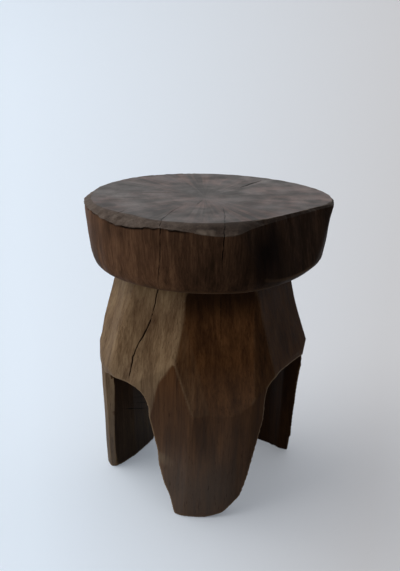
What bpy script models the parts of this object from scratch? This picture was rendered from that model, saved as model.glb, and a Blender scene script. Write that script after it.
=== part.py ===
"""Carved hardwood stool: a thick round seat, a short neck, a hewn shoulder and three legs.

The stool is cut from one log that stands on end. Each section of the log is an object of its own,
and the sections meet at level planes with a hairline seam. Units are metres and +Z is up. The floor
is at Z = 0 and the origin lies under the middle of the seat. Azimuths are in degrees: 0 points to
-Y, where the front leg stands, and a positive azimuth turns towards +X.
"""
import math

import bmesh
import bpy
from mathutils import Matrix, Vector

COLLECTION_NAME = "carved_log_stool"
CUTTER_COLLECTION_NAME = "cutters"

# Heights of the sections, stacked from the floor up
LEG_HEIGHT = 0.165
SHOULDER_HEIGHT = 0.170
NECK_HEIGHT = 0.014
SEAT_THICKNESS = 0.097
SEAM = 0.0003

# Seat: a turned block whose rim is worn down to an off-centre lip
SEAT_RADIUS = 0.182
SEAT_FOOT_RADIUS = 0.167
SEAT_SIDE_POWER = 3.5
SEAT_EDGE_ROUND = 0.006
LIP_DEPTH = 0.012
LIP_OVERHANG = 0.008
LIP_SIDE_WIDTH = 0.008
LIP_FRONT_WIDTH = 0.028
LIP_BACK_WIDTH = 0.008

# Flats hewn on the seat's rim: azimuth, inset at the top, and how far below the top the flat runs
# out into the seat's side
RIM_FLATS = (
    (29.0, 0.037, 0.013),
    (53.0, 0.039, 0.180),
)

# Neck: a round waist, hollowed a little between its ends
NECK_SETBACK = 0.010
NECK_WAIST = 0.003

# Log below the neck
BASE_OFFSET = -0.001
LOG_FOOT_RADIUS = 0.152
LOG_LEG_RADIUS = 0.159
SHOULDER_TOP_RADIUS = 0.120

# Facets hewn on the shoulder: azimuth, how far the top edge lies outside the shoulder's top radius,
# and how far below the shoulder's top the facet runs out into the log's skin
SHOULDER_FACETS = (
    (-65.5, -0.002, 0.134),
    (-52.0, 0.0021, 0.136),
    (-36.5, 0.001, 0.172),
    (12.5, 0.001, 0.170),
    (61.5, -0.006, 0.170),
    (110.0, -0.006, 0.168),
    (158.0, -0.001, 0.165),
    (204.0, -0.001, 0.165),
    (248.0, -0.001, 0.185),
)

# Flats hewn down the front leg: azimuth, and depth below the log's skin at the floor and at the top
FRONT_LEG_FLATS = (
    (-27.0, 0.0070, 0.0115),
    (42.0, 0.0055, 0.0055),
)

# Legs: name, azimuth that the flat inner face looks away from, and thickness at the middle
LEGS = (
    ("front_leg", 9.0, 0.037),
    ("right_leg", 141.0, 0.025),
    ("left_leg", 243.5, 0.042),
)
HOLLOW_RISE = 0.025
LEG_EDGE_THICKNESS = 0.020
FRONT_FOOT_WEAR_START = 0.004

# Arches between the legs, each after the leg of the same place in the list above: azimuth, rise of
# the crown above the leg plane, then on each side, low azimuth first, the half width at the floor,
# the half width at the spring and how square the crown is, and last the spring's height
ARCHES = (
    ("right_arch", 64.0, 0.048, (0.108, 0.110), (0.0735, 0.098), (5.0, 3.0), 0.150),
    ("back_arch", 189.0, 0.035, (0.080, 0.072), (0.050, 0.048), (2.4, 2.4), 0.140),
    ("left_arch", -50.0, 0.028, (0.080, 0.085), (0.054, 0.0455), (4.0, 2.5), 0.150),
)
ARCH_START = 0.045
CUT_MARGIN = 0.02

# Resolution of the round forms
ROUND_STEPS = 72
SIDE_STEPS = 12
EDGE_STEPS = 4
ARCH_STEPS = 12

# Levels that follow from the stacked heights
SHOULDER_TOP = LEG_HEIGHT + SHOULDER_HEIGHT
NECK_TOP = SHOULDER_TOP + NECK_HEIGHT
SEAT_TOP = NECK_TOP + SEAT_THICKNESS


def clear_scene():
    for obj in list(bpy.data.objects):
        bpy.data.objects.remove(obj, do_unlink=True)


def new_collection(name):
    collection = bpy.data.collections.get(name) or bpy.data.collections.new(name)
    if name not in bpy.context.scene.collection.children:
        bpy.context.scene.collection.children.link(collection)
    return collection


def srgb(code):
    """A hex colour as linear red, green, blue and alpha."""
    channels = [int(code[i:i + 2], 16) / 255 for i in (0, 2, 4)]
    linear = [c / 12.92 if c <= 0.04045 else ((c + 0.055) / 1.055) ** 2.4 for c in channels]
    return (*linear, 1.0)


def wood(name, code, roughness):
    material = bpy.data.materials.get(name) or bpy.data.materials.new(name)
    material.use_nodes = True
    shader = material.node_tree.nodes["Principled BSDF"]
    shader.inputs["Base Color"].default_value = srgb(code)
    shader.inputs["Roughness"].default_value = roughness
    shader.inputs["Metallic"].default_value = 0.0
    return material


def new_object(name, mesh, collection, material=None, parent=None):
    obj = bpy.data.objects.new(name, mesh)
    collection.objects.link(obj)
    obj.parent = parent
    if material:
        mesh.materials.append(material)
    return obj


def bmesh_to_mesh(bm, name):
    mesh = bpy.data.meshes.new(name)
    bmesh.ops.recalc_face_normals(bm, faces=bm.faces)
    bm.to_mesh(mesh)
    bm.free()
    return mesh


def shade(mesh):
    mesh.shade_smooth()
    mesh.set_sharp_from_angle(angle=math.radians(25))


def outward(azimuth):
    """Level unit vector that points from the axis towards an azimuth."""
    angle = math.radians(azimuth)
    return Vector((math.sin(angle), -math.cos(angle), 0.0))


def log_radius(height):
    """Radius of the log's skin, which flares evenly from the floor upwards."""
    return LOG_FOOT_RADIUS + (LOG_LEG_RADIUS - LOG_FOOT_RADIUS) * height / LEG_HEIGHT


def trim(bm, point, normal):
    """Cuts away what lies on the normal's side of a plane and closes the cut with one face."""
    geometry = bm.verts[:] + bm.edges[:] + bm.faces[:]
    cut = bmesh.ops.bisect_plane(
        bm, geom=geometry, dist=1e-7, plane_co=point, plane_no=normal, clear_outer=True)
    rim = [item for item in cut["geom_cut"] if isinstance(item, bmesh.types.BMEdge)]
    if rim:
        bmesh.ops.edgeloop_fill(bm, edges=rim)


def hew(bm, azimuth, low, high):
    """Trims a body by a plane through two (radius, height) points of one azimuth."""
    direction = outward(azimuth)
    lean = (high[0] - low[0]) / (high[1] - low[1])
    normal = direction - Vector((0.0, 0.0, lean))
    trim(bm, direction * low[0] + Vector((0.0, 0.0, low[1])), normal.normalized())


def hewn_log(bottom, top):
    """The log between two levels, with the facets of the shoulder and of the front leg."""
    bm = bmesh.new()
    bmesh.ops.create_cone(
        bm, cap_ends=True, segments=ROUND_STEPS, radius1=log_radius(0.0),
        radius2=log_radius(SHOULDER_TOP), depth=SHOULDER_TOP,
        matrix=Matrix.Translation((0.0, 0.0, SHOULDER_TOP / 2)))
    for azimuth, outset, run_out in SHOULDER_FACETS:
        low = SHOULDER_TOP - run_out
        hew(bm, azimuth, (log_radius(low), low), (SHOULDER_TOP_RADIUS + outset, SHOULDER_TOP))
    for azimuth, foot_depth, top_depth in FRONT_LEG_FLATS:
        low = (LOG_FOOT_RADIUS - foot_depth, 0.0)
        hew(bm, azimuth, low, (LOG_LEG_RADIUS - top_depth, LEG_HEIGHT))
    trim(bm, Vector((0.0, 0.0, bottom)), Vector((0.0, 0.0, -1.0)))
    trim(bm, Vector((0.0, 0.0, top)), Vector((0.0, 0.0, 1.0)))
    return bm


def curve_to_mesh(curve, name):
    """Mesh of a filled flat curve, with its caps welded to its sides."""
    guide = bpy.data.objects.new(name, curve)
    bpy.context.scene.collection.objects.link(guide)
    evaluated = guide.evaluated_get(bpy.context.evaluated_depsgraph_get())
    mesh = bpy.data.meshes.new_from_object(evaluated)
    bpy.data.objects.remove(guide, do_unlink=True)
    bm = bmesh.new()
    bm.from_mesh(mesh)
    bpy.data.meshes.remove(mesh)
    bmesh.ops.remove_doubles(bm, verts=bm.verts, dist=1e-6)
    return bmesh_to_mesh(bm, name)


def arch_outline(crown_rise, feet, springs, squareness, spring_height):
    """Points of an arch seen from outside: straight flanks, then a rounded or squarish crown."""
    crown = LEG_HEIGHT + crown_rise
    points = []
    for side, foot, spring, power in zip((-1, 1), feet, springs, squareness):
        below = foot + (foot - spring) * CUT_MARGIN / spring_height
        flank = [(side * below, -CUT_MARGIN)]
        for step in range(ARCH_STEPS):
            angle = math.pi / 2 * step / ARCH_STEPS
            across = spring * math.cos(angle) ** (2 / power)
            up = (crown - spring_height) * math.sin(angle) ** (2 / power)
            flank.append((side * across, spring_height + up))
        points.append(flank)
    return points[0] + [(0.0, crown)] + points[1][::-1]


def arch_cutter(name, azimuth, outline, cutters, axis):
    """A prism of the arch's outline that runs from inside the hollow out through the log's skin."""
    reach = log_radius(SHOULDER_TOP) + CUT_MARGIN
    curve = bpy.data.curves.new(name, "CURVE")
    curve.dimensions = "2D"
    curve.fill_mode = "BOTH"
    curve.extrude = (reach - ARCH_START) / 2
    spline = curve.splines.new("POLY")
    spline.points.add(len(outline) - 1)
    for point, (across, up) in zip(spline.points, outline):
        point.co = (across, up, 0.0, 1.0)
    spline.use_cyclic_u = True
    cutter = new_object(name, curve_to_mesh(curve, name), cutters, parent=axis)
    cutter.location = outward(azimuth) * (reach + ARCH_START) / 2
    cutter.rotation_euler = (math.radians(90), 0.0, math.radians(azimuth))
    hide(cutter)
    return cutter


def hollow_cutter(cutters, axis):
    """The three-sided space between the legs, flat on each leg's inner face."""
    ceiling = LEG_HEIGHT + HOLLOW_RISE
    radius = LOG_LEG_RADIUS - LEG_EDGE_THICKNESS
    bm = bmesh.new()
    bmesh.ops.create_cone(
        bm, cap_ends=True, segments=ROUND_STEPS, radius1=radius, radius2=radius,
        depth=ceiling + CUT_MARGIN,
        matrix=Matrix.Translation((0.0, 0.0, (ceiling - CUT_MARGIN) / 2)))
    for _, azimuth, thickness in LEGS:
        inner = LOG_LEG_RADIUS - thickness
        hew(bm, azimuth, (inner, 0.0), (inner, LEG_HEIGHT))
    cutter = new_object("leg_hollow", bmesh_to_mesh(bm, "leg_hollow"), cutters, parent=axis)
    hide(cutter)
    return cutter


def hide(cutter):
    cutter.hide_render = True
    cutter.display_type = "WIRE"


def cut(obj, cutters):
    for cutter in cutters:
        modifier = obj.modifiers.new(cutter.name, "BOOLEAN")
        modifier.operation = "DIFFERENCE"
        modifier.solver = "EXACT"
        modifier.object = cutter


def turned(name, profile, collection, material, parent=None):
    """A solid of revolution from a profile that runs from the axis, down the outside, to the axis."""
    mesh = bpy.data.meshes.new(name)
    edges = [(i, i + 1) for i in range(len(profile) - 1)]
    mesh.from_pydata([(radius, 0.0, height) for radius, height in profile], edges, [])
    obj = new_object(name, mesh, collection, material, parent)
    screw = obj.modifiers.new("turn", "SCREW")
    screw.steps = ROUND_STEPS
    screw.render_steps = ROUND_STEPS
    screw.use_merge_vertices = True
    screw.merge_threshold = 1e-5
    screw.use_smooth_shade = True
    return obj


def seat_profile():
    """The seat's block before its lip is worn: a barrel side that draws in to a rounded foot."""
    bottom = NECK_TOP + SEAM / 2
    side_end = bottom + SEAT_EDGE_ROUND
    points = [(0.0, SEAT_TOP)]
    for step in range(SIDE_STEPS + 1):
        fall = step / SIDE_STEPS
        radius = SEAT_RADIUS - (SEAT_RADIUS - SEAT_FOOT_RADIUS) * fall ** SEAT_SIDE_POWER
        points.append((radius, SEAT_TOP + (side_end - SEAT_TOP) * fall))
    for step in range(1, EDGE_STEPS + 1):
        angle = math.pi / 2 * step / EDGE_STEPS
        radius = SEAT_FOOT_RADIUS - SEAT_EDGE_ROUND * (1 - math.cos(angle))
        points.append((radius, side_end - SEAT_EDGE_ROUND * math.sin(angle)))
    return points + [(0.0, bottom)]


def lip_cutter(cutters):
    """Loft that keeps the worn top: a small off-centre oval above, a wide circle below."""
    half_length = SEAT_RADIUS - (LIP_FRONT_WIDTH + LIP_BACK_WIDTH) / 2
    half_width = SEAT_RADIUS - LIP_SIDE_WIDTH
    shift = (LIP_FRONT_WIDTH - LIP_BACK_WIDTH) / 2
    slope = (LIP_SIDE_WIDTH + LIP_OVERHANG) / LIP_DEPTH
    rise = slope * CUT_MARGIN
    low = SEAT_TOP - LIP_DEPTH
    wide = SEAT_RADIUS + LIP_OVERHANG
    # Each ring: height, half width, half length and how far its centre lies behind the axis
    rings = (
        (NECK_TOP - CUT_MARGIN, wide, wide, 0.0),
        (low, wide, wide, 0.0),
        (SEAT_TOP, half_width, half_length, shift),
        (SEAT_TOP + CUT_MARGIN, half_width - rise, half_length - rise, shift),
    )
    # Half a step's turn keeps the rings' points clear of the seat's own
    half_step = Matrix.Rotation(math.pi / ROUND_STEPS, 4, "Z")
    bm = bmesh.new()
    loops = []
    for height, across, along, back in rings:
        placed = Matrix.Translation((0.0, back, height)) @ Matrix.Diagonal((across, along, 1.0, 1.0))
        ring = bmesh.ops.create_circle(
            bm, segments=ROUND_STEPS, radius=1.0, matrix=placed @ half_step)
        edges = {edge for vert in ring["verts"] for edge in vert.link_edges}
        loops.append(list(edges))
    for lower, upper in zip(loops, loops[1:]):
        bmesh.ops.bridge_loops(bm, edges=lower + upper)
    bmesh.ops.edgeloop_fill(bm, edges=loops[0])
    bmesh.ops.edgeloop_fill(bm, edges=loops[-1])
    for azimuth, inset, run_out in RIM_FLATS:
        hew(bm, azimuth, (SEAT_RADIUS, SEAT_TOP - run_out), (SEAT_RADIUS - inset, SEAT_TOP))
    cutter = new_object("worn_lip", bmesh_to_mesh(bm, "worn_lip"), cutters)
    hide(cutter)
    return cutter


def make_seat(parts, cutters):
    seat = turned("seat", seat_profile(), parts, wood("worn_seat_wood", "5a4a44", 0.6))
    wear = seat.modifiers.new("wear", "BOOLEAN")
    wear.operation = "INTERSECT"
    wear.solver = "EXACT"
    wear.object = lip_cutter(cutters)


def make_neck(parts, axis):
    radius = SHOULDER_TOP_RADIUS - NECK_SETBACK
    bottom = SHOULDER_TOP + SEAM / 2
    top = NECK_TOP - SEAM / 2
    profile = [(0.0, top)]
    for step in range(2 * EDGE_STEPS + 1):
        share = step / (2 * EDGE_STEPS)
        waist = NECK_WAIST * math.sin(math.pi * share)
        profile.append((radius - waist, top + (bottom - top) * share))
    profile.append((0.0, bottom))
    turned("neck", profile, parts, wood("shaded_neck_wood", "3a2620", 0.6), axis)


def make_shoulder(parts, axis, arches, hollow):
    bm = hewn_log(LEG_HEIGHT + SEAM / 2, SHOULDER_TOP - SEAM / 2)
    mesh = bmesh_to_mesh(bm, "shoulder")
    shoulder = new_object("shoulder", mesh, parts, wood("hewn_shoulder_wood", "5c4436", 0.55), axis)
    shade(mesh)
    cut(shoulder, [*arches, hollow])


def wear_foot(bm, azimuth):
    """Wears the outer corner of a foot away at 45 degrees, on its side of higher azimuth."""
    across = outward(azimuth + 90)
    down = Vector((0.0, 0.0, -1.0))
    trim(bm, across * FRONT_FOOT_WEAR_START, (across + down).normalized())


def make_leg(index, parts, axis, arches, hollow):
    """One leg: the wedge of the log between two arches, cut by them and by the hollow."""
    name = LEGS[index][0]
    bm = hewn_log(0.0, LEG_HEIGHT - SEAM / 2)
    before = ARCHES[index - 1][1]
    after = ARCHES[index][1]
    trim(bm, Vector(), outward(before - 90))
    trim(bm, Vector(), outward(after + 90))
    if name == "front_leg":
        wear_foot(bm, LEGS[index][1])
    mesh = bmesh_to_mesh(bm, name)
    leg = new_object(name, mesh, parts, wood(name + "_wood", "57453a", 0.6), axis)
    shade(mesh)
    cut(leg, [arches[index - 1], arches[index], hollow])


def main():
    clear_scene()
    parts = new_collection(COLLECTION_NAME)
    cutters = new_collection(CUTTER_COLLECTION_NAME)
    axis = bpy.data.objects.new("base_axis", None)
    axis.location = (BASE_OFFSET, 0.0, 0.0)
    parts.objects.link(axis)
    arches = []
    for name, azimuth, *form in ARCHES:
        arches.append(arch_cutter(name, azimuth, arch_outline(*form), cutters, axis))
    hollow = hollow_cutter(cutters, axis)
    make_seat(parts, cutters)
    make_neck(parts, axis)
    make_shoulder(parts, axis, arches, hollow)
    for index in range(len(LEGS)):
        make_leg(index, parts, axis, arches, hollow)


main()
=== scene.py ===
"""Dressed model of a stool carved from one dark hardwood log: a thick round seat, an undercut neck,
a hewn shoulder and three legs. Metres, +Z up, the front of the stool towards -Y."""
import math

import bmesh
import bpy
import numpy as np
from mathutils import Euler, Matrix, Vector, noise
from mathutils.bvhtree import BVHTree
from mathutils.kdtree import KDTree


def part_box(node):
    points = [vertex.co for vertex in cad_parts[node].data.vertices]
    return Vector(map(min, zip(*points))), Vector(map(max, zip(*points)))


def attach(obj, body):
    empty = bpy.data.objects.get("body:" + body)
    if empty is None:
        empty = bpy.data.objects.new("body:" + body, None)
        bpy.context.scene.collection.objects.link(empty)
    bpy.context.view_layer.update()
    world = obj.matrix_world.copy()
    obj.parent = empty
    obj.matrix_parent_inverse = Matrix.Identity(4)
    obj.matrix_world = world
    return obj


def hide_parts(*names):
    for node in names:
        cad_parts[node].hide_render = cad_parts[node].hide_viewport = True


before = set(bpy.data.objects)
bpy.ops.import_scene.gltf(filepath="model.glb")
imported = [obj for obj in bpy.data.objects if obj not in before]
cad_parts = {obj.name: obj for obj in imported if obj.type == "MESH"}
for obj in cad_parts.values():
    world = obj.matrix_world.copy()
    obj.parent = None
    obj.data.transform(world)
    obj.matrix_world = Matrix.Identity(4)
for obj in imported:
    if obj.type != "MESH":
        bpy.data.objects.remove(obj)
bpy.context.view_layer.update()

MM = 0.001

# Levels of the log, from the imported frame
SEAT_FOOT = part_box("seat")[0].z
SEAT_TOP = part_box("seat")[1].z
SEAT_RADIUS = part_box("seat")[1].x
SHOULDER_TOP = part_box("shoulder")[1].z
LEG_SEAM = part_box("shoulder")[0].z
LEGS = ("front_leg", "left_leg", "right_leg")

# Layers of the carved wood that the materials read
MARKS = ("crack_shade", "wear", "lit_pale", "inner")

# Skin of the carved wood
BASE_SKIN = 1.5 * MM
SEAT_SKIN = 2.0 * MM
PIECE_TRIANGLES = 190000
MERGE = 0.01 * MM
SEAM_LAP = 2.0 * MM
SEAM_CUT = 1e-7
SOFTEN_ROUNDS = 5
EDGE_ROUNDS = 3
PROUD_BEND = 60.0
SHARP_BEND = 0.35
ASKEW = Euler((0.6, 0.5, 0.4)).to_matrix().to_4x4()

# A distance well outside the log, from which a ray is sent to it, and the far side of an open box
OUTSIDE = 0.4
FAR = 1.0

# Lines laid on the wood: steps in each length on the side, and pitch in metres on the top and in
# pixels in the photograph
SIDE_LINE_STEPS = 14
TOP_LINE_PITCH = 5 * MM
SIGHT_LINE_PITCH = 1.0

# Hand work on the base, as rows of how far the wood wanders, over what width and length, and a seed:
# slow waves, adze marks and raised fibres. It fades out at the floor
BASE_WORK = (
    (0.8 * MM, 75 * MM, 75 * MM, 3.0),
    (0.28 * MM, 24 * MM, 38.4 * MM, 11.0),
    (0.1 * MM, 5 * MM, 90 * MM, 5.0),
)
FOOT_STEADY = 6 * MM

# Right corner of the shoulder, worn down: height and greatest reach to the right
RIGHT_REACH = (
    (0.140, 0.1800), (0.165, 0.1640), (0.178, 0.1575), (0.190, 0.1566), (0.197, 0.1562),
    (0.204, 0.1552), (0.215, 0.1540), (0.224, 0.1540), (0.230, 0.1590), (0.250, 0.1800),
)
REACH_ROUND = 3 * MM

# Where the log swells at the left of the shoulder and down the right leg: height and how far
LEFT_SWELL_ZONE = dict(azimuth=-85, facing=(0.5, 0.95))
RIGHT_SWELL_ZONE = dict(side=(100 * MM, 135 * MM))
LEFT_SWELL = (
    (0.180, 0.0), (0.200, 0.0010), (0.218, 0.0), (0.235, 0.0), (0.260, 0.0030), (0.290, 0.0046),
    (0.335, 0.0049),
)
RIGHT_SWELL = (
    (0.0, 0.0050), (0.030, 0.0050), (0.050, 0.0035), (0.090, 0.0021), (0.120, 0.0008),
    (0.145, 0.0008), (0.158, 0.0015), (0.169, 0.0025), (0.178, 0.0042), (0.186, 0.0030),
    (0.195, 0.0), (0.208, 0.0), (0.222, 0.0030), (0.235, 0.0020), (0.260, 0.0010), (0.300, 0.0),
)

# Inner face of the left leg, which is thicker than the plain sector: a place on it and its facing
LEFT_INNER = Vector((-0.1363, -0.0091, 0.0))
LEFT_INNER_FACING = Vector((0.895, -0.447, 0.0))
LEFT_INNER_BLEND = 14 * MM
LEFT_INNER_LEAN = 0.055
LEFT_INNER_END = (187 * MM, 172 * MM)

# How far that face stands out at the floor: depth from the middle of the stool and swell
LEFT_INNER_SWELL = (
    (-0.030, 0.0), (-0.012, 0.0019), (0.005, 0.0046), (0.031, 0.0080), (0.070, 0.0069),
    (0.100, 0.0040),
)

# Round nose of the left leg: facets as a place, facing azimuth and how far each leans out as it rises
LEFT_NOSE = (((-0.1510, -0.0014, 0.0), -63, 0.075), ((-0.1372, -0.0128, 0.0), -18, 0.100))
LEFT_NOSE_END = (195 * MM, 175 * MM)
LEFT_LEG_BOX = ((-FAR, -60 * MM, -FAR), (-60 * MM, FAR, 200 * MM))

# Worn right corner of the front foot: its outline in the photograph
FOOT_ARC = (
    (246.6, 482.0), (244.0, 490.0), (240.8, 498.8), (236.6, 503.4), (228.5, 509.2), (220.3, 512.9),
    (212.2, 515.4), (203.0, 517.2),
)
FOOT_ARC_BOX = ((-FAR, -FAR, -FAR), (FAR, -70 * MM, 60 * MM))

# Worn corners: place, reach and rounds of softening
WORN_CORNERS = (
    ((0.0330, -0.1400, 0.010), 26 * MM, 6),
    ((0.1525, 0.0100, 0.196), 13 * MM, 10),
    ((-0.1410, -0.0600, 0.186), 20 * MM, 12),
    ((-0.1450, -0.0120, 0.0), 16 * MM, 20),
    ((0.1450, 0.0535, 0.0), 32 * MM, 40),
)

# Right edge of the shoulder and leg: a line in the photograph
RIGHT_EDGE = ((304.6, 345.0), (298.0, 375.0))
RIGHT_EDGE_BOX = ((120 * MM, -FAR, 165 * MM), (FAR, FAR, 235 * MM))
RIGHT_EDGE_START = (165 * MM, 175 * MM)

# Small swells of the wood: place, reach and how far it stands out
BULGES = (
    ((-0.0585, -0.1320, 0.062), 40 * MM, (-0.0036, -0.0005, 0.0)),
    ((0.1530, 0.0140, 0.190), 15 * MM, (0.0024, -0.0005, 0.0)),
)
BULGE_CORE = 0.3

# Crease between the two facets at the left of the shoulder, as places in the photograph
CREASE = ((129.8, 287.0), (124.8, 314.8), (119.0, 336.3), (114.0, 352.9))
CREASE_HEIGHT = 2.4 * MM
CREASE_REACH = 32 * MM

# Facet beside the left arch: three places in the photograph
ARCH_FLAT = ((168.0, 371.0), (153.5, 408.0), (138.0, 383.5))
ARCH_FLAT_BOX = ((-FAR, -FAR, 110 * MM), (-20 * MM, -50 * MM, 210 * MM))
ARCH_FLAT_START = (112 * MM, 135 * MM)

# Edge of the wood painted paler as painted light on the front leg's left: two lines in the photograph
LIT_PALE_EDGE = (((175.0, 362.0), (157.5, 385.0)), ((159.0, 380.0), (150.5, 416.0)))

# How far the shoulder runs up round the foot of the neck, and from what height
SHOULDER_LIFT = 8 * MM
SHOULDER_LIFT_FROM = 290 * MM
SHOULDER_LEVEL = 3 * MM
LEVEL_FACING = 0.9

# Tool cuts across the inner face of the left leg, as places in the photograph
INNER_CUTS = (((120, 404), (147, 402)), ((121, 409), (147, 408)), ((124, 398), (146, 396.5)))
INNER_CUT = (1.8 * MM, 1.4 * MM, 0.8 * MM, 0.3, 0.3, 9.0)

# Side of the stool towards the window, painted paler and greyer as painted light, in degrees from the
# front. Pairs are where a change starts and where it is full, of facing (from -1 to 1), height or place;
# a zone has such pairs
LIT_PALE_AZIMUTH = -58
LIT_PALE_FACING = (0.45, 0.85)
LIT_PALE_FACING_BEHIND = (-0.35, 0.85)
LIT_PALE_UPPER = (0.02, 0.12)
LIT_PALE_BEHIND_HEIGHT = (20 * MM, 220 * MM)
LIT_PALE_BEHIND_OUTWARD = (0.2, 0.6)
LIT_PALE_STRIP_BOX = ((-FAR, -FAR, 110 * MM), (FAR, -50 * MM, 240 * MM))
LIT_PALE_STRIP_FACING = 0.2
LIT_PALE_STRIP_BLEND = (-1 * MM, 2 * MM)
LIT_PALE_NOSE = dict(
    azimuth=-48, facing=(0.3, 0.8), height=(200 * MM, 170 * MM), side=(-115 * MM, -125 * MM)
)
# Painted light: the left leg's inner faces painted paler and greyer towards the floor
GREY_FOOT = dict(strength=0.75, height=(150 * MM, 30 * MM), side=(-50 * MM, -80 * MM))
SEAT_LIT_PALE_AZIMUTH = -72
SEAT_LIT_PALE_FACING = (-0.1, 0.38)

# Painted shade: near-black painted on the inner faces, on the shoulder below the seat, on the side away
# from the window and on the front leg's flat
INWARD_FACING = (0.1, 0.7)
CEILING_SHARE = 0.6
SHADED_HEIGHT = (80 * MM, 170 * MM)
SHADED_SIDE = (0.0, 50 * MM)
SHADED_UNWORN = 0.85
SEAT_SHADOW = dict(strength=0.9, height=(285 * MM, SHOULDER_TOP))
SEAT_SHADOW_LIT_PALE = 1.7
FAR_SIDE_SHADE = dict(strength=0.74, azimuth=72, facing=(0.35, 0.9))
FRONT_FLAT_SHADE = dict(strength=0.42, azimuth=-32, facing=(0.6, 0.9), height=(70 * MM, 130 * MM))

# Seat: rows of faces up its profile and steps round it, the flat on its front right, the lean and tuck
# of its right side, and its slightly tilted top
BOTTOM, SIDE, LIP, TOP = range(4)
SEAT_ROWS = {BOTTOM: 12, SIDE: 66, LIP: 16, TOP: 60}
SEAT_STEPS = 430
SEAT_FOOT_RADIUS = 150 * MM
SEAT_FLAT_AZIMUTH = 46
SEAT_FLAT_REACH = 149 * MM
SEAT_FLAT_LEAN = 0.20
SEAT_FLAT_ROUND = 3 * MM
SEAT_RIGHT_AZIMUTH = 76
SEAT_RIGHT_LEAN = 1.6 * MM
SEAT_RIGHT_TUCK = 9 * MM
SEAT_TOP_RISE = 1.0 * MM
SEAT_TOP_TILT = 0.0046

# Pairs are where a change starts and is full: of facing, of the share of the seat's height or of height
SEAT_TILT_RISE = (0.3, 0.9)
SEAT_FLAT_FACING = 0.3
SEAT_RIGHT_FACING = (0.5, 0.95)
SEAT_RIGHT_LEAN_RISE = (0.95, 0.75)
SEAT_RIGHT_TUCK_RISE = (0.22, 0.0)
SEAT_UPRIGHT = (0.6, 0.97)
# A paler band painted along the seat's lower edge, kept in the wear layer: its strength, height and reach
SEAT_FOOT_PALE = 0.55
SEAT_FOOT_PALE_HEIGHT = (SEAT_FOOT + 9 * MM, SEAT_FOOT + 4 * MM)
SEAT_FOOT_PALE_REACH = (140 * MM, 160 * MM)
RIM_UNWORN = 0.7
RIM_HEIGHT = (SEAT_TOP - 20 * MM, SEAT_TOP - 14 * MM)
RIM_FACING = (0.98, 0.9)

# Lines up and round the seat are averaged: steps and their spread, turns in degrees and their shares
SIDE_STEPS = (-1, -0.5, 0, 0.5, 1)
SIDE_SPREAD = 0.03
SIDE_SPREAD_RISE = 8
ROUND_SHARES = ((6.0, 0.1), (3.0, 0.2), (0.0, 0.4), (-3.0, 0.2), (-6.0, 0.1))

# Further reach of the seat at its back: azimuth and how far
SEAT_REACH = (
    (-180, 0.0045), (-150, 0.0045), (-125, 0.0025), (-100, 0.0), (60, 0.0), (75, 0.0003),
    (88, 0.0025), (100, 0.0058), (116, 0.0052), (140, 0.0028), (165, 0.0030), (180, 0.0045),
)

# Side of the seat: share of its height and radius
SEAT_SIDE = (
    (0.0, 0.1580), (0.02, 0.1632), (0.05, 0.1662), (0.09, 0.1685), (0.18, 0.1718), (0.27, 0.1735),
    (0.37, 0.1750), (0.46, 0.1764), (0.56, 0.1775), (0.65, 0.1783), (0.75, 0.1797), (0.84, 0.1807),
    (0.93, 0.1818), (1.0, 0.1821),
)

# Crisp edge of the seat's worn flat: azimuth and radius
TOP_EDGE = (
    (-180, 0.1830), (-156, 0.1842), (-140, 0.1832), (-125, 0.1797), (-101, 0.1737), (-87, 0.1724),
    (-69, 0.1703), (-56, 0.1657), (-47, 0.1611), (-38, 0.1572), (-27, 0.1633), (-13, 0.1613),
    (3, 0.1588), (18, 0.1522), (31, 0.1486), (46, 0.1464), (64, 0.1512), (76, 0.1667), (85, 0.1795),
    (95, 0.1835), (105, 0.1835), (122, 0.1815), (140, 0.1798), (160, 0.1805), (180, 0.1830),
)

# Lower edge of the torn lip: azimuth and depth below the top
LIP_EDGE = (
    (-180, 0.004), (-100, 0.005), (-72, 0.0045), (-58, 0.0065), (-50, 0.0105), (-40, 0.0125),
    (-31, 0.0085), (-23, 0.0060), (-15, 0.0055), (-7, 0.0075), (0, 0.0115), (8, 0.0130),
    (18, 0.0085), (28, 0.0060), (48, 0.0045), (75, 0.0030), (140, 0.0030), (180, 0.0040),
)

# Torn lip: its crown, ragged edges and chips, the tear below it and a pale patch. Spans are in degrees,
# and a grain is the width, length and seed of what makes a thing uneven
LIP_CROWN = 1.5
EDGE_WORK = ((1.6 * MM, 14 * MM, 14 * MM, 12.0),)
LIP_WORK = ((1.6 * MM, 9 * MM, 9 * MM, 2.0), (0.96 * MM, 3.6 * MM, 9 * MM, 6.0))
CHIP_WORK = ((1.0, 13 * MM, 13 * MM, 4.0), (0.7, 5.2 * MM, 7.8 * MM, 9.0))
CHIP_DEPTH = 3.0 * MM
CHIP_PROUD = 0.25
LIP_HEIGHT = (SEAT_TOP - 14 * MM, SEAT_TOP - 6 * MM)
LIP_FACING = (0.05, 0.3)
LIP_LEAST = 2 * MM
TEAR_SPAN = (-96, -84, -14, -4)
TEAR_GRAIN = (17 * MM, 40 * MM, 40.0)
TEAR_OPEN = (-0.35, 0.15)
TEAR_DEPTH = 2.4 * MM
TEAR_HEIGHT = 5 * MM
TEAR_LEDGE = 0.4 * MM
# Painted shadow in the tear under the lip: how dark, row by row below it
TEAR_SHADE = (0.95, 0.8, 0.4)
PALE_PATCH = 0.75
PALE_PATCH_SPAN = (-9, -4, 1, 6)
PALE_PATCH_GRAIN = (9 * MM, 6 * MM, 50.0)
PALE_PATCH_UNEVEN = (-0.6, 0.2)
PALE_PATCH_HEIGHT = (SEAT_TOP - 2 * MM, SEAT_TOP - 7 * MM)

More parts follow.
